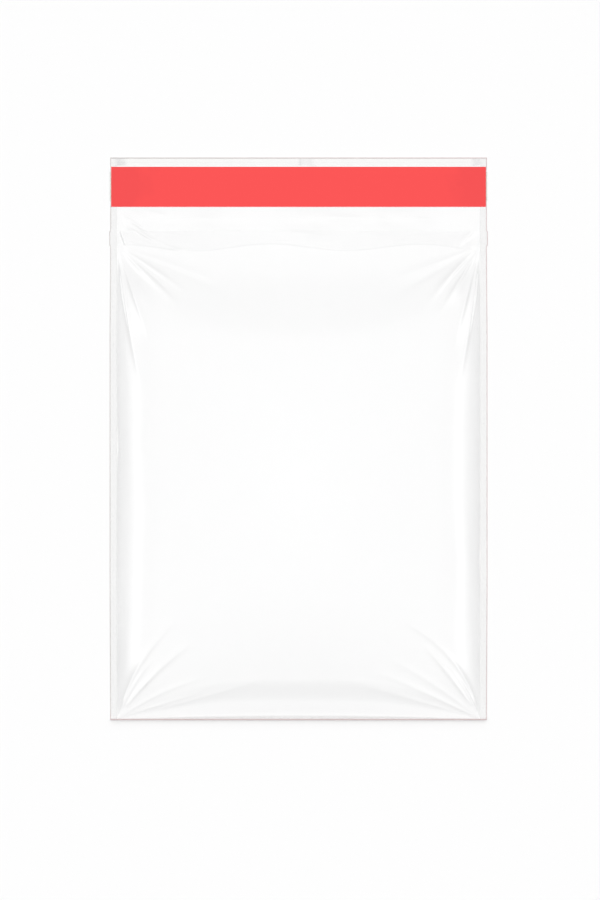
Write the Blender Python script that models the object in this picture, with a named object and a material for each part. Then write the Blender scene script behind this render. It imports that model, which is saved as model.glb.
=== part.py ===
"""Clear film mailing bag with a peel-and-seal lip, puffed with air and lying on its back.

The bag is one web of film. It is folded across the bottom, welded down both sides and open at a hemmed
mouth. The back panel runs on past the mouth as a lip, which carries a strip of adhesive under a red liner.
+X is across the bag, +Y runs from the bottom fold to the lip, and +Z is up, out of the front panel.
The origin is on the floor, under the middle of the bag. All lengths are in metres and angles in degrees.
"""

import bmesh
import bpy
import numpy as np

# The web, as it is cut, folded and welded
BAG_WIDTH = 0.235
BAG_LENGTH = 0.350
LIP_LENGTH = 0.046
FILM = 0.0003
WELD_WIDTH = 0.0045

# The turned edges: the mouth's hem, its crimped ends in the welds, and the lip's own hem
HEM_WIDTH = 0.0088
CRIMP_PROUD = 0.0008
LIP_HEM_WIDTH = 0.0031
HEM_STEP = 0.0003

# The closure on the lip
LINER_WIDTH = 0.025
LINER_TO_LIP_EDGE = 0.0055
LINER_THICKNESS = 0.0002
ADHESIVE_WIDTH = 0.018
ADHESIVE_THICKNESS = 0.0002
LAYER_GAP = 0.0003

# How the puffed bag lies: heights over the floor or over the welds
WELD_LIFT = 0.008
FOLD_LIFT = 0.0015
SHOULDER_RISE = 0.0065
CROWN_RISE = 0.011
MOUTH_GAPE = 0.0110

# How far the panels take to turn: in from each weld, up from the fold, along from a corner, to the neck
SIDE_TURN = 0.0135
FOLD_TURN = 0.034
BACK_TURN = 0.030
CORNER_REACH = 0.060
NECK_LENGTH = 0.045
FOLD_RAMP = 0.090
SHOULDER_POWER = 1.6

# Creases that fan out of the pocket's corners: angle from the weld, reach and height
CREASE_WIDTH = 0.0040
RIDGE_START = 0.3
BACK_CREASE_SHARE = 0.6
CREASES = {
    ("left", "fold"): (
        (10, 0.064, 0.0012),
        (24, 0.056, 0.0016),
        (38, 0.070, 0.0022),
        (56, 0.060, 0.0018),
        (74, 0.090, 0.0014),
    ),
    ("right", "fold"): (
        (9, 0.060, 0.0012),
        (22, 0.050, 0.0014),
        (36, 0.076, 0.0022),
        (55, 0.062, 0.0017),
        (75, 0.094, 0.0014),
    ),
    ("left", "mouth"): (
        (10, 0.070, 0.0015),
        (26, 0.052, 0.0015),
        (44, 0.062, 0.0020),
        (66, 0.052, 0.0013),
    ),
    ("right", "mouth"): (
        (9, 0.064, 0.0014),
        (27, 0.056, 0.0016),
        (45, 0.054, 0.0018),
        (67, 0.054, 0.0012),
    ),
}

# The facets of the puffed panels, and how strongly they crowd towards the edges
COLUMNS = 36
ROWS = 36
CROWDING = 0.78

# Colour, roughness and alpha of each material
CLEAR_FILM = ((0.93, 0.95, 0.95), 0.12, 0.35)
CLEAR_ADHESIVE = ((0.90, 0.88, 0.80), 0.45, 1.0)
RED_LINER = ((0.97, 0.10, 0.10), 0.38, 1.0)

FOLD_Y = -BAG_LENGTH / 2
LIP_Y = BAG_LENGTH / 2
MOUTH_Y = LIP_Y - LIP_LENGTH
HEM_Y = MOUTH_Y - HEM_WIDTH
LIP_HEM_Y = LIP_Y - LIP_HEM_WIDTH
POCKET_HALF = BAG_WIDTH / 2 - WELD_WIDTH


def clear_scene():
    for obj in list(bpy.data.objects):
        bpy.data.objects.remove(obj)


def smooth_step(value, start, end):
    """0 before start and 1 after end, with a level tangent at both."""
    share = np.clip((value - start) / (end - start), 0, 1)
    return share * share * (3 - 2 * share)


def swelling(distance):
    """How full an edge's turn is, by the distance to its corner: 0 there, and 1 past CORNER_REACH."""
    return 1 - (1 - np.clip(distance / CORNER_REACH, 0, 1)) ** 2 + 1e-6


def turning(distance, width):
    """How far a panel has turned level: 0 at its weld or fold, and 1 at width from it."""
    return 1 - (1 - np.clip(distance / width, 0, 1)) ** SHOULDER_POWER


def fullness(x, y, side_turn, fold_turn):
    """0 on the welds and on the fold, and 1 where the panel has turned level.

    Both turns narrow to a point at the pocket's corners, as a cone does, and the one of the nearer edge
    hands over to the other along the line that halves the corner.
    """
    from_weld = np.maximum(POCKET_HALF - np.abs(x), 0)
    from_fold = np.maximum(y - FOLD_Y, 0)
    from_mouth = np.maximum(HEM_Y - y, 0)
    swell = swelling(np.hypot(from_weld, np.minimum(from_fold, from_mouth)))
    by_side = swell * turning(from_weld, side_turn * swell)
    by_fold = swell * turning(from_fold, fold_turn * swell)
    weld_nearer = smooth_step(from_fold / (from_weld + from_fold + 1e-9), 0.25, 0.75)
    return weld_nearer * by_side + (1 - weld_nearer) * by_fold


def weld_lift(y):
    """Height of the welds over the floor: the fold is low, the belly carries them, the lip lies flat."""
    belly = FOLD_LIFT + (WELD_LIFT - FOLD_LIFT) * smooth_step(y, FOLD_Y, FOLD_Y + FOLD_RAMP)
    return belly * (1 - smooth_step(y, HEM_Y - NECK_LENGTH, HEM_Y))


def creases(x, y, flip=1):
    """Sharp ridges that fan out of the four corners of the pocket, widening and then dying out."""
    height = np.zeros(np.broadcast(x, y).shape)
    for (side, end), fan in CREASES.items():
        across = POCKET_HALF + flip * x * (1 if side == "left" else -1)
        along = y - FOLD_Y if end == "fold" else HEM_Y - y
        across = np.maximum(across, 0)
        along = np.maximum(along, 0)
        radius = np.hypot(across, along)
        angle = np.arctan2(across, along)
        for turn, reach, rise in fan:
            share = np.clip(radius / reach, 0, 1)
            width = CREASE_WIDTH * (0.35 + 0.65 * share)
            offset = (angle - np.radians(turn)) * radius / width
            fade = np.sin(np.pi * share**0.75) * np.minimum(along / CREASE_WIDTH, 1)
            height += rise * fade * np.exp(-np.abs(offset) ** 1.4)
    return height


def front_rise(x, y):
    """Height of the front panel over its welds: shoulders and crown, running into the arch of the mouth."""
    full = fullness(x, y, SIDE_TURN, FOLD_TURN)
    along = np.clip((2 * y - FOLD_Y - HEM_Y) / (HEM_Y - FOLD_Y), -1, 1)
    neck = smooth_step(y, HEM_Y - NECK_LENGTH, HEM_Y)
    level = 1 - np.minimum(np.abs(x) / POCKET_HALF, 1) ** 2
    belly = SHOULDER_RISE * full + CROWN_RISE * level * (1 - along**2)
    ridges = creases(x, y) * np.minimum(full / RIDGE_START, 1)
    return (1 - neck) * belly + neck * MOUTH_GAPE * level + ridges


def front_height(x, y):
    """Middle of the front film over the floor."""
    return 1.5 * FILM + weld_lift(y) + front_rise(x, y)


def back_height(x, y):
    """Middle of the back film over the floor, on which it lies flat in the middle."""
    hanging = weld_lift(y) * (1 - fullness(x, y, BACK_TURN, FOLD_TURN))
    ridges = BACK_CREASE_SHARE * creases(x, y, -1) * np.minimum(hanging / WELD_LIFT, 1)
    return FILM / 2 + hanging + ridges


def crowded(low, high, count):
    """Stations from low to high that crowd towards both ends."""
    share = np.linspace(-1, 1, count + 1)
    bent = (1 - CROWDING) * share + CROWDING * np.sin(np.pi / 2 * share)
    return low + (high - low) * (bent + 1) / 2


def skin(height, x, y, offset):
    """Points of a film's face: its middle surface, moved by offset along the surface's own normal."""
    step = 1e-5
    across, along = np.meshgrid(x, y)
    slope_x = (height(across + step, along) - height(across - step, along)) / (2 * step)
    slope_y = (height(across, along + step) - height(across, along - step)) / (2 * step)
    on_edge = np.abs(across) > POCKET_HALF - step
    on_edge |= (along < FOLD_Y + step) | (along > HEM_Y - step)
    slope_x = np.where(on_edge, 0, slope_x)
    slope_y = np.where(on_edge, 0, slope_y)
    length = np.sqrt(slope_x**2 + slope_y**2 + 1)
    thickness = np.broadcast_to(offset, across.shape)
    return np.stack(
        (
            across - thickness * slope_x / length,
            along - thickness * slope_y / length,
            height(across, along) + thickness / length,
        ),
        axis=-1,
    )


def add_points(mesh, points):
    """A grid of vertices, as rows of a list."""
    return [[mesh.verts.new(point) for point in row] for row in points]


def join_rows(mesh, first, second, lower=True):
    """Triangles between two rows of vertices, with diagonals that fan out of the nearest corner."""
    middle = len(first) // 2
    for k in range(len(first) - 1):
        near = (first[k], first[k + 1], second[k + 1], second[k])
        start = 0 if (k < middle) == lower else 1
        a, b, c, d = near[start:] + near[:start]
        mesh.faces.new((a, b, c))
        mesh.faces.new((a, c, d))


def cover(mesh, rows):
    """Triangles over a whole grid of vertices."""
    for j in range(len(rows) - 1):
        join_rows(mesh, rows[j], rows[j + 1], j < len(rows) // 2)


def widened(points, rows):
    """The given rows with their outer columns pushed out, where the weld crimps the hem."""
    points[rows, 0, 0] -= CRIMP_PROUD
    points[rows, -1, 0] += CRIMP_PROUD
    return points


def build_film():
    """The bag's film as one closed body: two outer faces, two inner faces, and the edges that join them."""
    inside = crowded(-POCKET_HALF, POCKET_HALF, COLUMNS)
    full_width = np.concatenate(([-BAG_WIDTH / 2], inside, [BAG_WIDTH / 2]))
    panel = np.concatenate((crowded(FOLD_Y, HEM_Y, ROWS), [HEM_Y + HEM_STEP, MOUTH_Y]))
    lip = np.array([MOUTH_Y + HEM_STEP, LIP_HEM_Y, LIP_HEM_Y + HEM_STEP, LIP_Y])
    hem_rows = np.arange(len(panel)) >= len(panel) - 2
    lip_hem_rows = np.arange(len(lip)) >= len(lip) - 2

    front_offset = FILM / 2 + FILM * hem_rows[:, None]
    front_out = widened(skin(front_height, full_width, panel, front_offset), hem_rows)
    back_out = widened(skin(back_height, full_width, panel, -FILM / 2), hem_rows)
    front_in = skin(front_height, inside, panel, -FILM / 2)
    back_in = skin(back_height, inside, panel, FILM / 2)
    for inner in (front_in, back_in):
        inner[0, :, 1] = FOLD_Y + FILM

    mesh = bmesh.new()
    front_out = add_points(mesh, front_out)
    back_out = add_points(mesh, back_out)
    front_in = add_points(mesh, front_in)
    shared = back_in
    back_in = []
    for j, row in enumerate(shared):
        edge = (0, len(row) - 1)
        back_in.append(
            [
                front_in[j][i] if j == 0 or i in edge else mesh.verts.new(point)
                for i, point in enumerate(row)
            ]
        )

    lip_offset = FILM / 2 + FILM * lip_hem_rows[:, None]
    lip_front = add_points(mesh, skin(back_height, full_width, lip, lip_offset))
    lip_back = add_points(mesh, skin(back_height, full_width, lip, -FILM / 2))
    crimp = BAG_WIDTH / 2 + CRIMP_PROUD
    mouth_ends = [mesh.verts.new((side * crimp, MOUTH_Y, FILM)) for side in (-1, 1)]
    mouth_row = [mouth_ends[0], *back_in[-1], mouth_ends[1]]

    cover(mesh, front_out)
    cover(mesh, back_out + lip_back)
    cover(mesh, front_in)
    cover(mesh, back_in)
    cover(mesh, [mouth_row, *lip_front])
    join_rows(mesh, front_out[0], back_out[0])
    join_rows(mesh, front_in[-1], front_out[-1][1:-1])
    join_rows(mesh, lip_front[-1], lip_back[-1])
    for side, inner in ((0, 1), (-1, -2)):
        above = [row[side] for row in front_out]
        below = [row[side] for row in back_out]
        join_rows(mesh, above[:-1], below[:-1])
        mesh.faces.new((above[-2], above[-1], mouth_ends[side], below[-1], below[-2]))
        mesh.faces.new((above[-1], front_out[-1][inner], mouth_row[inner], mouth_ends[side]))
        lip_above = [mouth_ends[side]] + [row[side] for row in lip_front]
        lip_below = [below[-1]] + [row[side] for row in lip_back]
        join_rows(mesh, lip_above, lip_below)
    bmesh.ops.recalc_face_normals(mesh, faces=mesh.faces)
    return mesh


def build_strip(width, y_middle, z_bottom, thickness):
    """A flat strip across the whole bag, cut flush with its sides."""
    mesh = bmesh.new()
    bmesh.ops.create_cube(mesh, size=1)
    bmesh.ops.scale(mesh, vec=(BAG_WIDTH, width, thickness), verts=mesh.verts)
    bmesh.ops.translate(mesh, vec=(0, y_middle, z_bottom + thickness / 2), verts=mesh.verts)
    return mesh


def make_material(name, colour, roughness, alpha):
    material = bpy.data.materials.new(name)
    material.use_nodes = True
    shader = material.node_tree.nodes["Principled BSDF"]
    shader.inputs["Base Color"].default_value = (*colour, 1)
    shader.inputs["Roughness"].default_value = roughness
    shader.inputs["Metallic"].default_value = 0
    shader.inputs["Alpha"].default_value = alpha
    return material


def make_object(name, mesh, material):
    data = bpy.data.meshes.new(name)
    mesh.to_mesh(data)
    mesh.free()
    data.materials.append(material)
    obj = bpy.data.objects.new(name, data)
    bpy.context.scene.collection.objects.link(obj)
    return obj


def main():
    clear_scene()
    film = make_object("film_bag", build_film(), make_material("clear_film", *CLEAR_FILM))
    film.data.shade_smooth()
    film.data.set_sharp_from_angle(angle=np.radians(40))

    liner_y = LIP_Y - LINER_TO_LIP_EDGE - LINER_WIDTH / 2
    adhesive_z = FILM + LAYER_GAP
    liner_z = adhesive_z + ADHESIVE_THICKNESS + LAYER_GAP
    make_object(
        "adhesive_strip",
        build_strip(ADHESIVE_WIDTH, liner_y, adhesive_z, ADHESIVE_THICKNESS),
        make_material("adhesive", *CLEAR_ADHESIVE),
    )
    make_object(
        "release_liner",
        build_strip(LINER_WIDTH, liner_y, liner_z, LINER_THICKNESS),
        make_material("red_liner", *RED_LINER),
    )


main()
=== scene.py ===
import bpy
import numpy as np
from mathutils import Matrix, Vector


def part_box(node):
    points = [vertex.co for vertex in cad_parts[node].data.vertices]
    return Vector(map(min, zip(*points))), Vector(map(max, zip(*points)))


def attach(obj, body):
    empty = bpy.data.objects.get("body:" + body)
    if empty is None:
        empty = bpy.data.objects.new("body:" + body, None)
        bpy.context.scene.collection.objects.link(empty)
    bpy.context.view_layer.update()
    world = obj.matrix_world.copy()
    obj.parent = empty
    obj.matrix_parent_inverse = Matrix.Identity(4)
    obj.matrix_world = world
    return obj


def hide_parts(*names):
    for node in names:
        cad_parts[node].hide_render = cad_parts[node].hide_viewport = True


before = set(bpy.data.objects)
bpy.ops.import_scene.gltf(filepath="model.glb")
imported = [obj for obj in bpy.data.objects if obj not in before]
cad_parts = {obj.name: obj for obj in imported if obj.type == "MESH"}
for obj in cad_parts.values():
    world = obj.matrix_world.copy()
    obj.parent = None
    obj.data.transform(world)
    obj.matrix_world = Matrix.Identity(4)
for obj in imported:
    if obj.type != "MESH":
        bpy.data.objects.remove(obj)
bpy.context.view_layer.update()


# The studio. The bag lies on a sheet of white paper, between two strip lights that shine in from its
# sides, under a white sky that darkens towards the horizon. A broad soft lamp beyond the lip's end lights
# the paper, and the camera looks straight down.

def linear(code):
    """A colour's linear red, green and blue from its sRGB hex code, by the sRGB curve."""
    share = np.array([int(code[i:i + 2], 16) for i in (1, 3, 5)]) / 255
    return tuple(np.where(share <= 0.04045, share / 12.92, ((share + 0.055) / 1.055) ** 2.4)) + (1.0,)


def node(tree, kind, inputs=None, **settings):
    """Adds one node. inputs gives each socket, by name or number, a value or another node's output."""
    made = tree.nodes.new(kind)
    for name, value in settings.items():
        setattr(made, name, value)
    for name, value in (inputs or {}).items():
        if isinstance(value, bpy.types.NodeSocket):
            tree.links.new(value, made.inputs[name])
        else:
            made.inputs[name].default_value = value
    return made


def ramp(tree, value, stops):
    """A ramp of grey levels: stops are (position, level) pairs, joined by straight lines."""
    made = node(tree, "ShaderNodeValToRGB", {"Fac": value})
    line = made.color_ramp
    while len(line.elements) < len(stops):
        line.elements.new(0.5)
    for element, (position, level) in zip(line.elements, stops):
        element.position = position
        element.color = (level, level, level, 1)
    return made.outputs["Color"]


def new_material(name):
    """An empty material with its output node."""
    material = bpy.data.materials.new(name)
    material.use_nodes = True
    material.node_tree.nodes.clear()
    output = node(material.node_tree, "ShaderNodeOutputMaterial")
    return material, material.node_tree, output


def link(name, data):
    """An object for a mesh, a lamp or a camera, linked to the scene."""
    made = bpy.data.objects.new(name, data)
    bpy.context.scene.collection.objects.link(made)
    return made


# FRAME_HEIGHT is how much the picture holds from foot to top at WELD_LEVEL over the paper, which is about
# the height of the side welds.
CAMERA_HEIGHT = 2.0
FRAME_HEIGHT = 0.5586
WELD_LEVEL = 0.008
camera = link("camera", bpy.data.cameras.new("camera"))
camera.location = (0.0009, -0.0072, CAMERA_HEIGHT)
camera.data.lens = camera.data.sensor_width * (CAMERA_HEIGHT - WELD_LEVEL) / FRAME_HEIGHT
bpy.context.scene.camera = camera
bpy.context.scene.view_settings.view_transform = "Standard"

# The sky's brightness by the height of the direction, 0 at the horizon and 1 overhead. SIDES holds the
# strip lights, ENDS is what stands beyond the bag's two ends, and ACROSS says how far a direction belongs
# to SIDES: its position is 0 at the foot's horizon, 0.5 overhead or at the sides, and 1 at the lip's.
SKY_STRENGTH = 1.5
SIDES = (
    (0.0, 0.10), (0.30, 0.12), (0.40, 0.16), (0.48, 0.28), (0.55, 0.47), (0.62, 0.68), (0.70, 0.93),
    (0.79, 0.88), (0.87, 0.62), (0.93, 0.57), (0.97, 0.60), (0.99, 0.64), (0.997, 0.68), (1.0, 0.70),
)
ENDS = (
    (0.0, 0.08), (0.45, 0.10), (0.55, 0.12), (0.62, 0.15), (0.70, 0.19), (0.76, 0.25), (0.84, 0.34),
    (0.89, 0.38), (0.94, 0.46), (0.97, 0.52), (0.99, 0.58), (0.997, 0.66), (1.0, 0.70),
)
ACROSS = ((0.0, 0.0), (0.24, 0.0), (0.36, 1.0), (0.65, 1.0), (0.76, 0.2), (1.0, 0.2))
world = bpy.data.worlds.new("tent")
bpy.context.scene.world = world
world.use_nodes = True
tree = world.node_tree
tree.nodes.clear()
way = node(tree, "ShaderNodeSeparateXYZ", {0: node(tree, "ShaderNodeTexCoord").outputs["Generated"]})
lean = node(tree, "ShaderNodeMath", {0: way.outputs["Y"], 1: 0.5, 2: 0.5},
            operation="MULTIPLY_ADD").outputs[0]
sky = node(tree, "ShaderNodeMix", {
    "Factor": ramp(tree, lean, ACROSS),
    6: ramp(tree, way.outputs["Z"], ENDS),
    7: ramp(tree, way.outputs["Z"], SIDES),
}, data_type="RGBA")
tent = node(tree, "ShaderNodeBackground", {"Color": sky.outputs[2], "Strength": SKY_STRENGTH})
paper_white = node(tree, "ShaderNodeBackground", {"Color": linear("#fdfdfd"), "Strength": 1.0})
seen = node(tree, "ShaderNodeLightPath").outputs["Is Camera Ray"]
mixed = node(tree, "ShaderNodeMixShader", {0: seen, 1: tent.outputs[0], 2: paper_white.outputs[0]})
node(tree, "ShaderNodeOutputWorld", {"Surface": mixed.outputs[0]})

soft_box = link("soft_box", bpy.data.lights.new("soft_box", "SUN"))
soft_box.data.angle = np.radians(80)
soft_box.data.energy = 2.11
soft_box.rotation_euler = (-np.radians(35), 0, 0)
soft_box.visible_glossy = False

floor_mesh = bpy.data.meshes.new("floor")
floor_mesh.from_pydata([(-6, -6, 0), (6, -6, 0), (6, 6, 0), (-6, 6, 0)], [], [(0, 1, 2, 3)])
floor = link("floor", floor_mesh)
paper, tree, output = new_material("matte_white_paper")
matte = node(tree, "ShaderNodeBsdfDiffuse", {"Color": linear("#eeeeee")})
tree.links.new(matte.outputs[0], output.inputs["Surface"])
floor.data.materials.append(paper)
floor.location.z = -0.0001


# The front panel. The bag is one web of clear cast film, about 0.05 mm thick, folded across the bottom and
# welded up both sides. Air holds the panels apart: each turns up from the welds and the fold, runs level in
# the middle, and gathers in creases at the pocket's four corners.

BAG_WIDTH = 0.235
WELD_WIDTH = 0.0045
POCKET_HALF = BAG_WIDTH / 2 - WELD_WIDTH
FOLD_Y = -0.175
MOUTH_Y = 0.129
HEM_Y = 0.1202
GROUND = 0.0002
WELD_MIDDLE = 0.0004
WELD_LIFT = 0.0068
FOLD_LIFT = 0.0012
SHOULDER_RISE = 0.0064
CROWN_RISE = 0.0124
SIDE_TURN = 0.0235
SIDE_WAVER = 0.12
WAVES = ((0.1445, 0.55, 0.0), (0.0710, 0.30, 2.0), (0.0320, 0.15, 0.0))
SIDE_SHIFT = 0.037
SHOULDER_POWER = 2.6
CORNER_REACH = 0.038
FOLD_REACH = 0.095
FOLD_TURN = 0.050
FOLD_SHARE = 0.45
NECK_LENGTH = 0.062
NECK_AT_WELD = 0.40
FOLD_RAMP = 0.090
MOUTH_GAPE = 0.0090
HEM_STEP = 0.0004
LAYER_INSET = 0.0002


def smooth_step(value, start, end):
    """0 before start and 1 after end, with a level tangent at both."""
    share = np.clip((value - start) / (end - start), 0, 1)
    return share * share * (3 - 2 * share)


def swelling(distance, reach):
    """How full the film is, by the distance to the pocket's nearest corner: 0 there and 1 past reach."""
    return 1 - (1 - np.clip(distance / reach, 0, 1)) ** 2 + 1e-6


def turning(distance, width):
    """How far a panel has turned level, from 0 at its weld or fold to 1 at width from it."""
    return 1 - (1 - np.clip(distance / width, 0, 1)) ** SHOULDER_POWER


def waver(y, side):
    """The slow unevenness of a shoulder along its weld, from about -1 to 1: a sum of sines of y. Each of
    WAVES has its length, its share and its start in radians, and SIDE_SHIFT sets one side off the other."""
    return sum(
        share * np.sin(2 * np.pi * (y + side * SIDE_SHIFT) / length + start)
        for length, share, start in WAVES
    )


def fold_rolls(distance):
    """Two rolls of film along the bottom fold: a fine one on it, and a broad one behind a level strip."""
    fine = 0.00035 * np.exp(-((distance - 0.0022) / 0.0010) ** 2) * np.minimum(distance / 0.001, 1)
    return fine + SHOULDER_RISE * (0.13 * smooth_step(distance, 0, 0.0035)
                                   + 0.42 * smooth_step(distance, 0.0115, 0.0260))


def shoulders(x, y):
    """Rise over the welds and the fold. Both turns narrow to a point at the pocket's corners, as a cone
    does, and they hand over to each other along the line that halves the corner."""
    from_weld = np.maximum(POCKET_HALF - np.abs(x), 0)
    from_fold = np.maximum(y - FOLD_Y, 0)
    from_corner = np.hypot(from_weld, np.minimum(from_fold, np.maximum(HEM_Y - y, 0)))
    swell = swelling(from_corner, CORNER_REACH)
    spread = swelling(from_corner, FOLD_REACH)
    turn = SIDE_TURN * (1 + SIDE_WAVER * waver(y, np.sign(x)))
    by_side = SHOULDER_RISE * swell * turning(from_weld / swell, turn)
    by_fold = spread * fold_rolls(from_fold / spread)
    by_fold += FOLD_SHARE * SHOULDER_RISE * swell * turning(from_fold / swell, FOLD_TURN)
    weld_nearer = smooth_step(from_fold / (from_weld + from_fold + 1e-9), 0.25, 0.75)
    return weld_nearer * by_side + (1 - weld_nearer) * by_fold


def weld_lift(y):
    """Height of the welds over the floor: low at the fold, carried by the belly, flat at the lip."""
    belly = FOLD_LIFT + (WELD_LIFT - FOLD_LIFT) * smooth_step(y, FOLD_Y, FOLD_Y + FOLD_RAMP)
    return WELD_MIDDLE + belly * (1 - smooth_step(y, HEM_Y - NECK_LENGTH, HEM_Y))


# The creases that fan out of the corners. Each has its angle from the weld in degrees, where it starts and
# ends, its height, its width on the weld's side and on the other, all in millimetres, and the degrees that
# it bends on its way.
FANS = {
    ("left", "fold"): (
        (17, 8, 74, 1.1, 3.6, 1.5, 14), (22, 2, 46, 1.0, 1.7, 0.9, 9), (36, 10, 68, 1.4, 3.2, 1.6, 8),
        (54, 2, 62, 0.5, 2.6, 1.6, 10), (70, 2, 60, 0.7, 2.4, 2.2, 2), (76, 10, 100, 0.5, 3.0, 3.0, -2),
    ),
    ("right", "fold"): (
        (14, 6, 82, 1.1, 2.8, 1.5, 25), (22, 2, 40, 1.0, 1.7, 0.9, 9), (33, 10, 60, 1.4, 3.4, 1.4, 4),
        (50, 6, 72, 0.5, 3.0, 2.0, 6), (62, 2, 74, 0.6, 2.6, 2.0, 3), (73, 10, 90, 0.5, 3.0, 3.0, 0),
    ),
    ("left", "mouth"): (
        (7, 0, 90, 1.0, 1.3, 2.6, 3), (18, 4, 76, 0.7, 1.6, 2.4, 2), (46, 5, 58, 1.3, 3.4, 2.2, -1),
        (33, 6, 64, -0.5, 4.0, 5.0, 0), (67, 8, 84, -0.8, 4.0, 9.0, 0),
        (52, 8, 46, 0.5, 0.9, 0.6, -1), (57, 6, 56, 1.1, 2.0, 2.8, -2), (70, 6, 70, 1.0, 5.0, 5.0, 0),
    ),
    ("right", "mouth"): (
        (6, 0, 88, 1.0, 1.3, 2.6, 3), (15, 4, 70, 0.7, 1.6, 2.4, 0), (30, 6, 56, 1.2, 3.2, 2.0, 1),
        (60, 8, 74, -0.7, 4.0, 8.0, 0),
        (35, 9, 36, 0.5, 0.9, 0.6, 4), (46, 6, 54, 1.3, 2.2, 3.4, -5), (66, 2, 60, 0.9, 4.0, 4.0, 3),
    ),
}


def creases(x, y, flip=1):
    """Ridges, and dents where the height is negative, that start as a point at their corner, widen, and
    die out at their reach: an arch of sine along each, and a bell across it with its own width on either
    side."""
    height = np.zeros(np.broadcast(x, y).shape)
    for (side, end), fan in FANS.items():
        across = np.maximum(POCKET_HALF + flip * x * (1 if side == "left" else -1), 0)
        along = np.maximum(y - FOLD_Y if end == "fold" else HEM_Y - y, 0)
        radius = np.hypot(across, along) * 1000
        angle = np.degrees(np.arctan2(across, along))
        for turn, start, reach, rise, near, far, bend in fan:
            share = np.clip((radius - start) / (reach - start), 0, 1)
            offset = np.radians(angle - turn - bend * share) * radius
            width = np.where(offset < 0, near, far) * (0.35 + 0.65 * share)
            height += rise / 1000 * np.sin(np.pi * share**0.7) * np.exp(-(np.abs(offset) / width) ** 1.4)
    return height


# The pinches and dents of the neck and the lip, in millimetres: where each starts and ends, its height, and
# its width on the left of that way and on the right.
PINCHES = (
    (-108, 138, -90, 126, 0.9, 0.8, 1.3), (-106, 133, -86, 121, 0.9, 0.7, 1.4),
    (-112, 133, -106, 116, 0.8, 2.2, 1.0), (-110, 140, -104, 128, 0.7, 1.6, 1.2),
    (-88, 122, -62, 112, 0.6, 1.2, 2.0),
    (113, 134, 96, 117, 0.9, 1.8, 2.2), (112, 143, 104, 128, 0.5, 2.4, 2.4),
    (-70, 137, -46, 136, 0.50, 2.2, 2.6), (14, 138, 44, 137, 0.55, 1.8, 2.2),
    (48, 138, 58, 134, 0.5, 1.8, 2.0), (70, 137, 86, 136, 0.45, 1.6, 1.8),
    (-96, 142, -80, 138, 0.4, 1.6, 2.0), (-80, 127, -60, 124, 0.35, 1.8, 1.8),
    (-6, 128, 24, 124, 0.45, 2.0, 2.4), (40, 126, 62, 125, 0.35, 1.8, 2.0),
)


def pinches(x, y):
    """Ridges along straight lines: an arch of sine along each, and a bell across it."""
    height = np.zeros(np.broadcast(x, y).shape)
    for x1, y1, x2, y2, rise, left, right in PINCHES:
        length = np.hypot(x2 - x1, y2 - y1)
        way_x, way_y = (x2 - x1) / length, (y2 - y1) / length
        from_x, from_y = x * 1000 - x1, y * 1000 - y1
        share = np.clip((from_x * way_x + from_y * way_y) / length, 0, 1)
        offset = from_y * way_x - from_x * way_y
        width = np.where(offset > 0, left, right)
        height += rise / 1000 * np.sin(np.pi * share) * np.exp(-(np.abs(offset) / width) ** 1.6)
    return height


HEM_WAVE = 0.0042
HEM_WAVE_LENGTH = 0.0935
HEM_WAVE_TOP = -0.0177


def hem_edge(x):
    """The y of the hem's free edge, which hangs in loose lobes: a cosine of x under the hem's line."""
    lobes = 0.5 - 0.5 * np.cos(2 * np.pi * (x - HEM_WAVE_TOP) / HEM_WAVE_LENGTH)
    return HEM_Y + 0.0008 - HEM_WAVE * lobes


def front_height(x, y):
    """The front panel: shoulders and crown over the welds, running down into the arch of the mouth, faster
    at the sides than in the middle, with the creases of the corners, the pinches of the neck and the step
    over the hem's free edge."""
    along = np.clip((2 * y - FOLD_Y - HEM_Y) / (HEM_Y - FOLD_Y), -1, 1)
    level = 1 - np.minimum(np.abs(x) / POCKET_HALF, 1) ** 2
    length = NECK_LENGTH * (NECK_AT_WELD + (1 - NECK_AT_WELD) * level)
    neck = smooth_step(y, HEM_Y - length, HEM_Y)
    full = shoulders(x, y)
    rise = (full + CROWN_RISE * level * (1 - along**2)) * (1 - neck) + neck * MOUTH_GAPE * level
    step = HEM_STEP * smooth_step(y, hem_edge(x) - 0.0008, hem_edge(x) + 0.0002) * np.minimum(level * 8, 1)
    fade = smooth_step(y, HEM_Y - 0.012, HEM_Y - 0.004)
    return weld_lift(y) + rise + creases(x, y) * np.minimum(full / 0.002, 1) + step + pinches(x, y) * fade


def stations(low, high, count, crowding):
    """Grid lines from low to high. Their spacing follows a sine, so they crowd towards both ends."""
    share = np.linspace(-1, 1, count)
    return low + (high - low) * ((1 - crowding) * share + crowding * np.sin(np.pi / 2 * share) + 1) / 2


def surface(name, points, upward, material, closed=False):
    """A grid of points as one smooth mesh with its faces up or down, and a UV map in metres of flat film.
    closed joins the last row of the grid to the first, for a tube."""
    rows, columns = points.shape[:2]
    index = np.arange(rows * columns).reshape(rows, columns)
    if closed:
        index = np.concatenate((index, index[:1]))
    corners = np.stack((index[:-1, :-1], index[:-1, 1:], index[1:, 1:], index[1:, :-1]), axis=-1)
    if not upward:
        corners = corners[..., ::-1]
    corners = corners.reshape(-1, 4)
    mesh = bpy.data.meshes.new(name)
    mesh.vertices.add(rows * columns)
    mesh.vertices.foreach_set("co", points.reshape(-1))
    mesh.loops.add(corners.size)
    mesh.loops.foreach_set("vertex_index", corners.reshape(-1))
    mesh.polygons.add(len(corners))
    mesh.polygons.foreach_set("loop_start", np.arange(len(corners)) * 4)
    mesh.polygons.foreach_set("use_smooth", np.ones(len(corners), bool))
    flat = points[..., :2].reshape(-1, 2)
    mesh.uv_layers.new(name="flat").data.foreach_set("uv", flat[corners.reshape(-1)].reshape(-1))
    mesh.materials.append(material)
    mesh.update(calc_edges=True)
    mesh.validate()
    return link(name, mesh)


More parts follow.
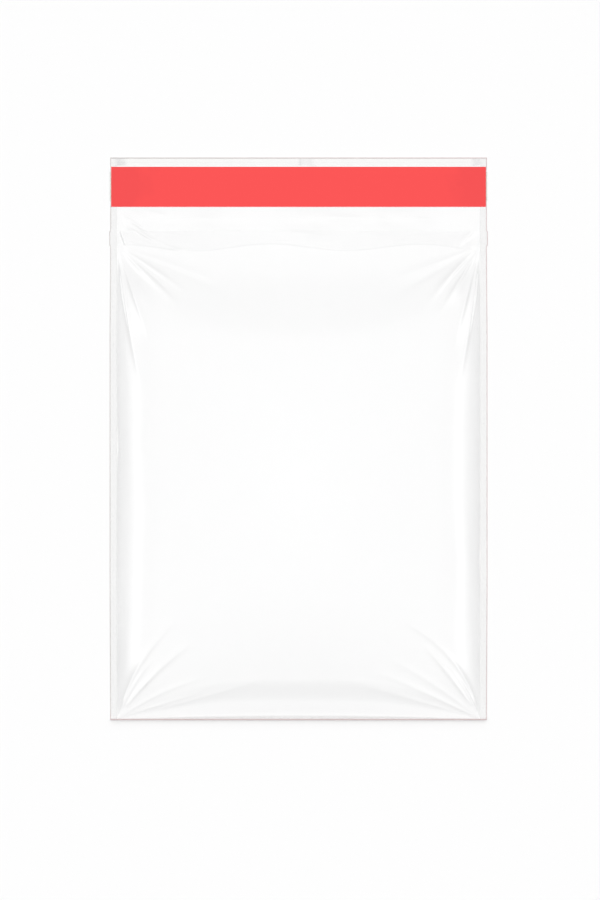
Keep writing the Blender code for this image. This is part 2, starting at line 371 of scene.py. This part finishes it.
def dress(piece, cad_node):
    """Hides the solid that a piece stands for and puts the piece on the bag's body. All of the bag is one
    body.
    """
    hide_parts(cad_node)
    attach(piece, "root")


# Cast polypropylene film: clear, and glossy from the chill roll. It mirrors a thirteenth of what is above
# it where it lies level, and up to a quarter where it turns away, which draws its shoulders and creases in
# the dark of the low sky and the white of the strip lights. It is too thin and clear to cast a shadow that
# shows.
FILM_LEVEL = 0.075
FILM_GRAZING = 0.9
FILM_POWER = 1.6
FILM_MOST = 0.26
clear_film, tree, output = new_material("cast_polypropylene_film")
turned = node(tree, "ShaderNodeLayerWeight", {"Blend": 0.5}).outputs["Facing"]
power = node(tree, "ShaderNodeMath", {0: turned, 1: FILM_POWER}, operation="POWER").outputs[0]
share = node(tree, "ShaderNodeMath", {0: power, 1: FILM_GRAZING, 2: FILM_LEVEL},
             operation="MULTIPLY_ADD").outputs[0]
share = node(tree, "ShaderNodeMath", {0: share, 1: FILM_MOST}, operation="MINIMUM").outputs[0]
through = node(tree, "ShaderNodeBsdfTransparent", {"Color": linear("#ffffff")})
gloss = node(tree, "ShaderNodeBsdfAnisotropic", {"Color": linear("#ffffff"), "Roughness": 0.08})
film = node(tree, "ShaderNodeMixShader", {0: share, 1: through.outputs[0], 2: gloss.outputs[0]})
tree.links.new(film.outputs[0], output.inputs["Surface"])

across = stations(-POCKET_HALF, POCKET_HALF, 225, 0.6)
along = np.concatenate((stations(FOLD_Y, HEM_Y, 400, 0.6), np.linspace(HEM_Y, MOUTH_Y, 25)[1:]))
x, y = np.meshgrid(across, along)
front_panel = surface("front_panel", np.stack((x, y, front_height(x, y)), axis=-1), True, clear_film)
front_panel.visible_shadow = False
front_panel.visible_diffuse = False
dress(front_panel, "film_bag")


# The back panel is the other half of the web, and runs on past the mouth as the lip. It hangs from the
# welds, down to the table in the middle.

LIP_Y = 0.175
LINER_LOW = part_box("release_liner")[0][1]
BACK_TURN = 0.036
BACK_CREASE = 0.3
LIP_ARCH = 0.0010


def back_height(x, y):
    """The back panel: from the welds and the fold down to the table by the same kind of turn as the front,
    with shallow creases at the corners, and the pinches of the neck on the lip."""
    from_weld = np.maximum(POCKET_HALF - np.abs(x), 0)
    from_fold = np.maximum(y - FOLD_Y, 0)
    swell = swelling(np.hypot(from_weld, np.minimum(from_fold, np.maximum(HEM_Y - y, 0))), CORNER_REACH)
    down = swell * np.minimum(turning(from_weld, BACK_TURN * swell), turning(from_fold, BACK_TURN * swell))
    lift = weld_lift(y) - GROUND
    on_lip = smooth_step(y, MOUTH_Y - 0.002, MOUTH_Y + 0.002) * np.minimum(from_weld / 0.004, 1)
    ripple = BACK_CREASE * creases(x, y, -1) * np.minimum(lift * (1 - down) / 0.004, 1)
    strip = np.clip((y - MOUTH_Y) / (LINER_LOW - MOUTH_Y), 0, 1)
    wave = 1 + 0.35 * np.sin(x * 1000 / 9.5 + 1) + 0.25 * np.sin(x * 1000 / 21)
    lip_arch = LIP_ARCH * wave * np.sin(np.pi * strip) * np.minimum(from_weld / 0.012, 1)
    return GROUND + lift * (1 - down) + ripple + lip_arch + pinches(x, y) * on_lip


along = np.concatenate((stations(FOLD_Y, HEM_Y, 240, 0.5), np.linspace(HEM_Y, LIP_Y, 130)[1:]))
x, y = np.meshgrid(across, along)
back_panel = surface("back_panel", np.stack((x, y, back_height(x, y)), axis=-1), False, clear_film)
back_panel.visible_shadow = False
back_panel.visible_diffuse = False
dress(back_panel, "film_bag")


# The mouth's hem: the front panel's top end turned under by 9 mm, which leaves a second layer of film with
# a loose free edge. Only its two ends are welded down. The turned end carries a little stretch haze.

HEM_UNDER = 0.00015
hazy_film, tree, output = new_material("stretched_polypropylene_film")
through = node(tree, "ShaderNodeBsdfTransparent", {"Color": linear("#fdfdfd")})
gloss = node(tree, "ShaderNodeBsdfAnisotropic", {"Color": linear("#ffffff"), "Roughness": 0.12})
film = node(tree, "ShaderNodeMixShader", {0: FILM_LEVEL, 1: through.outputs[0], 2: gloss.outputs[0]})
tree.links.new(film.outputs[0], output.inputs["Surface"])
share = np.linspace(0, 1, 14)[:, None]
x = np.broadcast_to(across, (14, len(across)))
y = hem_edge(x) + (MOUTH_Y - LAYER_INSET - hem_edge(x)) * share
hem_points = np.stack((x, y, front_height(x, y) - HEM_UNDER), axis=-1)
mouth_hem = surface("mouth_hem", hem_points, False, hazy_film)
mouth_hem.visible_shadow = False
mouth_hem.visible_diffuse = False
dress(mouth_hem, "film_bag")


# The lip's hem: the lip's top end turned over and pressed flat, so the clear strip beyond the liner is a
# little greyer. A fine line shows where the turned end stops, 3 mm in. Darker hazy marks lie at its two
# ends, and in its middle a fine dark line with painted shade on its right stands for a small crease in the
# film.

LIP_HEM_LOW = 0.1700
LIP_HEM_LINE = ((0.0, 0.0), (0.34, 0.0), (0.38, 1.0), (0.42, 0.0), (1.0, 0.0))
LIP_HEM_RISE = 0.0003
# Where the lip's hem darkens along its length: hazy marks at both ends, and near the middle a fine line
# with painted shade on its right, standing for a small crease.
MARKS_AND_CREASE_SHADE = (
    (0.0, 0.15), (0.012, 0.25), (0.020, 0.9), (0.036, 0.7), (0.048, 0.0), (0.499, 0.0), (0.503, 0.8),
    (0.506, 0.30), (0.534, 0.25), (0.545, 0.0), (0.955, 0.0), (0.966, 0.7), (0.980, 0.5), (1.0, 0.15),
)
pressed_film, tree, output = new_material("pressed_polypropylene_film")
place = node(tree, "ShaderNodeTexCoord").outputs["Object"]
cloud = node(tree, "ShaderNodeTexNoise", {"Vector": place, "Scale": 260.0, "Detail": 2.0}).outputs["Fac"]
parts = node(tree, "ShaderNodeSeparateXYZ", {0: place})
along_lip = node(tree, "ShaderNodeMapRange", {
    "Value": parts.outputs["X"], "From Min": -BAG_WIDTH / 2, "From Max": BAG_WIDTH / 2,
}).outputs[0]
over_lip = node(tree, "ShaderNodeMapRange", {
    "Value": parts.outputs["Y"], "From Min": LIP_HEM_LOW, "From Max": LIP_Y,
}).outputs[0]
# The end marks and the painted crease shade, broken up by the noise.
marks_and_crease_shade = ramp(tree, along_lip, MARKS_AND_CREASE_SHADE)
marks_and_shade_haze = node(tree, "ShaderNodeMath", {0: marks_and_crease_shade, 1: cloud}, operation="MULTIPLY").outputs[0]
haze = node(tree, "ShaderNodeMath", {0: marks_and_shade_haze, 1: 0.36, 2: 0.035}, operation="MULTIPLY_ADD").outputs[0]
end_line = ramp(tree, over_lip, LIP_HEM_LINE)
haze = node(tree, "ShaderNodeMath", {0: end_line, 1: 0.045, 2: haze}, operation="MULTIPLY_ADD").outputs[0]
through = node(tree, "ShaderNodeBsdfTransparent", {"Color": linear("#fefefd")})
milky = node(tree, "ShaderNodeBsdfPrincipled", {"Base Color": linear("#918f95"), "Roughness": 0.3})
film = node(tree, "ShaderNodeMixShader", {0: haze, 1: through.outputs[0], 2: milky.outputs[0]})
tree.links.new(film.outputs[0], output.inputs["Surface"])
across_hem = np.linspace(-BAG_WIDTH / 2 + LAYER_INSET, BAG_WIDTH / 2 - LAYER_INSET, 240)
x, y = np.meshgrid(across_hem, np.linspace(LIP_HEM_LOW, LIP_Y, 10))
roll = LIP_HEM_RISE * np.sqrt(np.clip(1 - ((y - LIP_HEM_LOW) / (LIP_Y - LIP_HEM_LOW) * 2 - 1) ** 8, 0, 1))
lip_hem = surface("lip_hem", np.stack((x, y, WELD_MIDDLE + roll), axis=-1), True, pressed_film)
lip_hem.visible_shadow = False
dress(lip_hem, "film_bag")


# The side welds: front and back film melted together under a heated bar with fine lengthwise ribs, up to
# the lip. The bar leaves the film hazy. Over the mouth's hem it melts four layers, and there a short
# crimp with cross ribs stands a little proud of the edge.

RIB_PITCH = 0.0011
RIB_HEIGHT = 0.00004
CRIMP_PROUD = 0.0006
CRIMP_PITCH = 0.0019
CRIMP_HEIGHT = 0.00012
welded_film, tree, output = new_material("heat_welded_polypropylene")
place = node(tree, "ShaderNodeTexCoord").outputs["Object"]
cloud = node(tree, "ShaderNodeTexNoise", {"Vector": place, "Scale": 900.0, "Detail": 2.0}).outputs["Fac"]
haze = node(tree, "ShaderNodeMath", {0: cloud, 1: 0.10, 2: 0.25}, operation="MULTIPLY_ADD").outputs[0]
through = node(tree, "ShaderNodeBsdfTransparent", {"Color": linear("#fdfdfc")})
milky = node(tree, "ShaderNodeBsdfPrincipled", {"Base Color": linear("#d4d4d6"), "Roughness": 0.35})
film = node(tree, "ShaderNodeMixShader", {0: haze, 1: through.outputs[0], 2: milky.outputs[0]})
tree.links.new(film.outputs[0], output.inputs["Surface"])


def in_crimp(y):
    """1 between the hem's line and the mouth, and 0 beyond, with short ramps."""
    return smooth_step(y, HEM_Y - 0.0005, HEM_Y) * (1 - smooth_step(y, MOUTH_Y, MOUTH_Y + 0.0005))


for side, name in ((-1, "left_weld"), (1, "right_weld")):
    share, y = np.meshgrid(np.linspace(0, 1, 27), np.linspace(FOLD_Y, LIP_HEM_LOW, 900))
    from_pocket = share * (WELD_WIDTH - LAYER_INSET + CRIMP_PROUD * in_crimp(y))
    lengthwise = RIB_HEIGHT * np.sin(np.pi * from_pocket / RIB_PITCH) ** 2
    crosswise = CRIMP_HEIGHT * np.sin(np.pi * (y - HEM_Y) / CRIMP_PITCH) ** 2
    ribs = lengthwise + (crosswise - lengthwise) * in_crimp(y)
    points = np.stack((side * (POCKET_HALF + from_pocket), y, weld_lift(y) + ribs), axis=-1)
    strip = surface(name, points, side > 0, welded_film)
    strip.visible_shadow = False
    strip.visible_diffuse = False
    dress(strip, "film_bag")


# The bag's outline: a hot knife cuts and seals the sides, which leaves a fine bead of melted film, and the
# lip and the bottom are folds. All of them gather the light of the film in their edge, so they look darker
# than it: their grey is partly the bead's own haze and partly painted shade for that darkening. The right
# edge and the bottom fold are a little pink, as if they carried the liner's red.

BEAD_RADIUS = 0.00026
BEAD_INSET = 0.00045
BEAD_LIFT = 0.0001
FOLD_RADIUS = 0.0004
PINK_FROM_X = 0.11
PINK_FROM_Y = -0.168
PINK_FULL_Y = -0.1745
melted_edge, tree, output = new_material("hot_cut_polypropylene_edge")
place = node(tree, "ShaderNodeSeparateXYZ", {0: node(tree, "ShaderNodeTexCoord").outputs["Object"]})
to_right = node(tree, "ShaderNodeMapRange", {
    "Value": place.outputs["X"], "From Min": -PINK_FROM_X, "From Max": PINK_FROM_X,
}).outputs[0]
to_foot = node(tree, "ShaderNodeMapRange", {
    "Value": place.outputs["Y"], "From Min": PINK_FROM_Y, "From Max": PINK_FULL_Y,
}).outputs[0]
pink = node(tree, "ShaderNodeMath", {0: to_right, 1: to_foot}, operation="MAXIMUM").outputs[0]
# The edges' grey is partly painted shade, for the darkening that a film's edge shows.
tone = node(tree, "ShaderNodeMix", {
    "Factor": pink, 6: linear("#cdc8c6"), 7: linear("#d2bfbf"),
}, data_type="RGBA").outputs[2]
body = node(tree, "ShaderNodeBsdfPrincipled", {"Base Color": tone, "Roughness": 0.3})
through = node(tree, "ShaderNodeBsdfTransparent", {"Color": linear("#ffffff")})
film = node(tree, "ShaderNodeMixShader", {0: 0.8, 1: through.outputs[0], 2: body.outputs[0]})
tree.links.new(film.outputs[0], output.inputs["Surface"])


def tube(name, centres, radius, material):
    """A round tube along a row of centres: twelve points round each, across the way to the next."""
    way = np.gradient(centres, axis=0)
    way /= np.linalg.norm(way, axis=1, keepdims=True)
    side = np.cross(way, (0, 0, 1))
    side /= np.linalg.norm(side, axis=1, keepdims=True)
    above = np.cross(side, way)
    angle = np.linspace(0, 2 * np.pi, 13)[:-1, None, None]
    points = centres + radius * (np.cos(angle) * side + np.sin(angle) * above)
    return surface(name, points, False, material, closed=True)


for side, name in ((-1, "left_edge"), (1, "right_edge")):
    y = np.linspace(FOLD_Y, LIP_Y, 500)
    x = side * (BAG_WIDTH / 2 - BEAD_INSET + CRIMP_PROUD * in_crimp(y))
    edge = tube(name, np.stack((x, y, weld_lift(y) + BEAD_LIFT), axis=-1), BEAD_RADIUS, melted_edge)
    edge.visible_shadow = False
    edge.visible_diffuse = False
    dress(edge, "film_bag")

x = np.linspace(-BAG_WIDTH / 2 + BEAD_INSET, BAG_WIDTH / 2 - BEAD_INSET, 200)
folds = ((FOLD_Y, FOLD_RADIUS, "bottom_fold"), (LIP_Y - BEAD_RADIUS, BEAD_RADIUS, "lip_fold"))
for place_y, radius, name in folds:
    y = np.full(len(x), place_y)
    centres = np.stack((x, y, weld_lift(y) + BEAD_LIFT), axis=-1)
    edge = tube(name, centres, radius, melted_edge)
    edge.visible_shadow = name == "bottom_fold"
    dress(edge, "film_bag")


# The closing adhesive: an acrylic pressure-sensitive coat on the lip, under the liner. It is water clear
# and only shows from behind, as a band with a wet look.
clear_adhesive, tree, output = new_material("acrylic_adhesive_coat")
through = node(tree, "ShaderNodeBsdfTransparent", {"Color": linear("#fbfbf9")})
wet = node(tree, "ShaderNodeBsdfPrincipled", {"Base Color": linear("#e9e7de"), "Roughness": 0.12})
film = node(tree, "ShaderNodeMixShader", {0: 0.15, 1: through.outputs[0], 2: wet.outputs[0]})
tree.links.new(film.outputs[0], output.inputs["Surface"])
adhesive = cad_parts["adhesive_strip"]
adhesive.data.materials.clear()
adhesive.data.materials.append(clear_adhesive)


# The liner: a strip of siliconised polyester film, coloured red in the mass, that covers the adhesive and
# is peeled away to close the bag. It stops a hair short of the beads of the side edges. Its silicone coat
# gives it a satin surface, and its red is a shade deeper towards its two ends.
LINER_TRIM = 0.0008
LINER_SHIFT = 0.0003
DEEPER_FROM = 0.116
DEEPEST_AT = 0.130
red_liner, tree, output = new_material("siliconised_red_polyester")
place = node(tree, "ShaderNodeTexCoord").outputs["Object"]
cloud = node(tree, "ShaderNodeTexNoise", {"Vector": place, "Scale": 60.0, "Detail": 3.0}).outputs["Fac"]
to_end = node(tree, "ShaderNodeMath", {0: node(tree, "ShaderNodeSeparateXYZ", {0: place}).outputs["X"]},
              operation="ABSOLUTE").outputs[0]
uneven = node(tree, "ShaderNodeMath", {0: cloud, 1: 0.05, 2: to_end}, operation="MULTIPLY_ADD").outputs[0]
deeper = node(tree, "ShaderNodeMapRange", {
    "Value": uneven, "From Min": DEEPER_FROM, "From Max": DEEPEST_AT,
}).outputs[0]
red = node(tree, "ShaderNodeMix", {
    "Factor": deeper, 6: linear("#ec4e4e"), 7: linear("#e74c4d"),
}, data_type="RGBA").outputs[2]
satin = node(tree, "ShaderNodeBsdfPrincipled", {
    "Base Color": red, "Roughness": 0.45, "Specular IOR Level": 0.1,
})
tree.links.new(satin.outputs[0], output.inputs["Surface"])
low, high = np.array(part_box("release_liner"))
low, high = low + (LINER_TRIM, -LINER_SHIFT, 0), high - (LINER_TRIM, LINER_SHIFT, 0)
liner_mesh = bpy.data.meshes.new("red_release_liner")
liner_mesh.from_pydata(
    [tuple(np.where(corner, high, low)) for corner in np.ndindex(2, 2, 2)], [],
    [(0, 1, 3, 2), (4, 6, 7, 5), (0, 4, 5, 1), (2, 3, 7, 6), (0, 2, 6, 4), (1, 5, 7, 3)],
)
liner_mesh.materials.append(red_liner)
liner = link("red_release_liner", liner_mesh)
liner.visible_shadow = False
liner.visible_diffuse = False
dress(liner, "release_liner")
